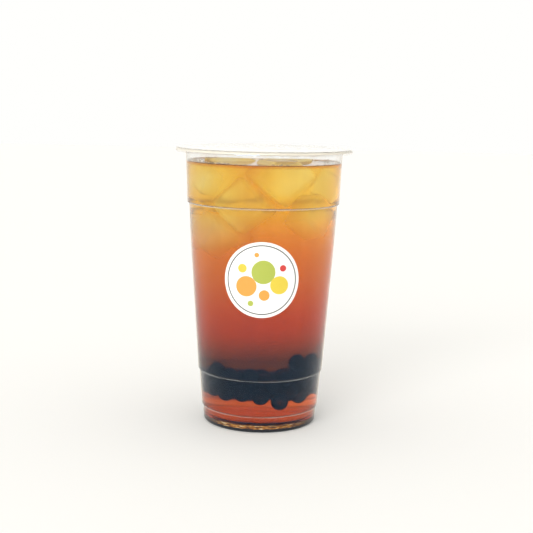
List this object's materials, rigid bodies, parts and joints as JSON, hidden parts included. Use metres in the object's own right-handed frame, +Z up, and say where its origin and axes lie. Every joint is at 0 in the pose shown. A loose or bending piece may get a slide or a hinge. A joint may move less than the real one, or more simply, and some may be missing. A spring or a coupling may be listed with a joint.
{
  "type": "bubble tea",
  "caption": "Iced bubble tea in a tall clear plastic cup, heat-sealed with a clear film, with a round label on the wall.",
  "frame": {"origin": "centre of the foot ring's flat underside, on the surface that the cup stands on", "axes": "+Z up along the cup's axis, -Y towards the front, where the label is, +X to the right seen from the front"},
  "size_m": [0.095, 0.095, 0.15],
  "materials": {
    "cup_plastic": "clear thermoformed polypropylene, glossy",
    "film": "thin clear sealing film, glossy and slightly wrinkled",
    "tea": "clear amber tea, redder towards the base",
    "label": "white coated paper, satin",
    "ice": "cloudy ice with a wet surface",
    "pearls": "near-black cooked tapioca, smooth and wet"
  },
  "bodies": {
    "root": {"cup": "cup_plastic", "seal_film": "film", "tea": "tea", "label": "label", "ice_front": "ice", "ice_back_left": "ice", "ice_back_right": "ice"}
  },
  "joints": []
}
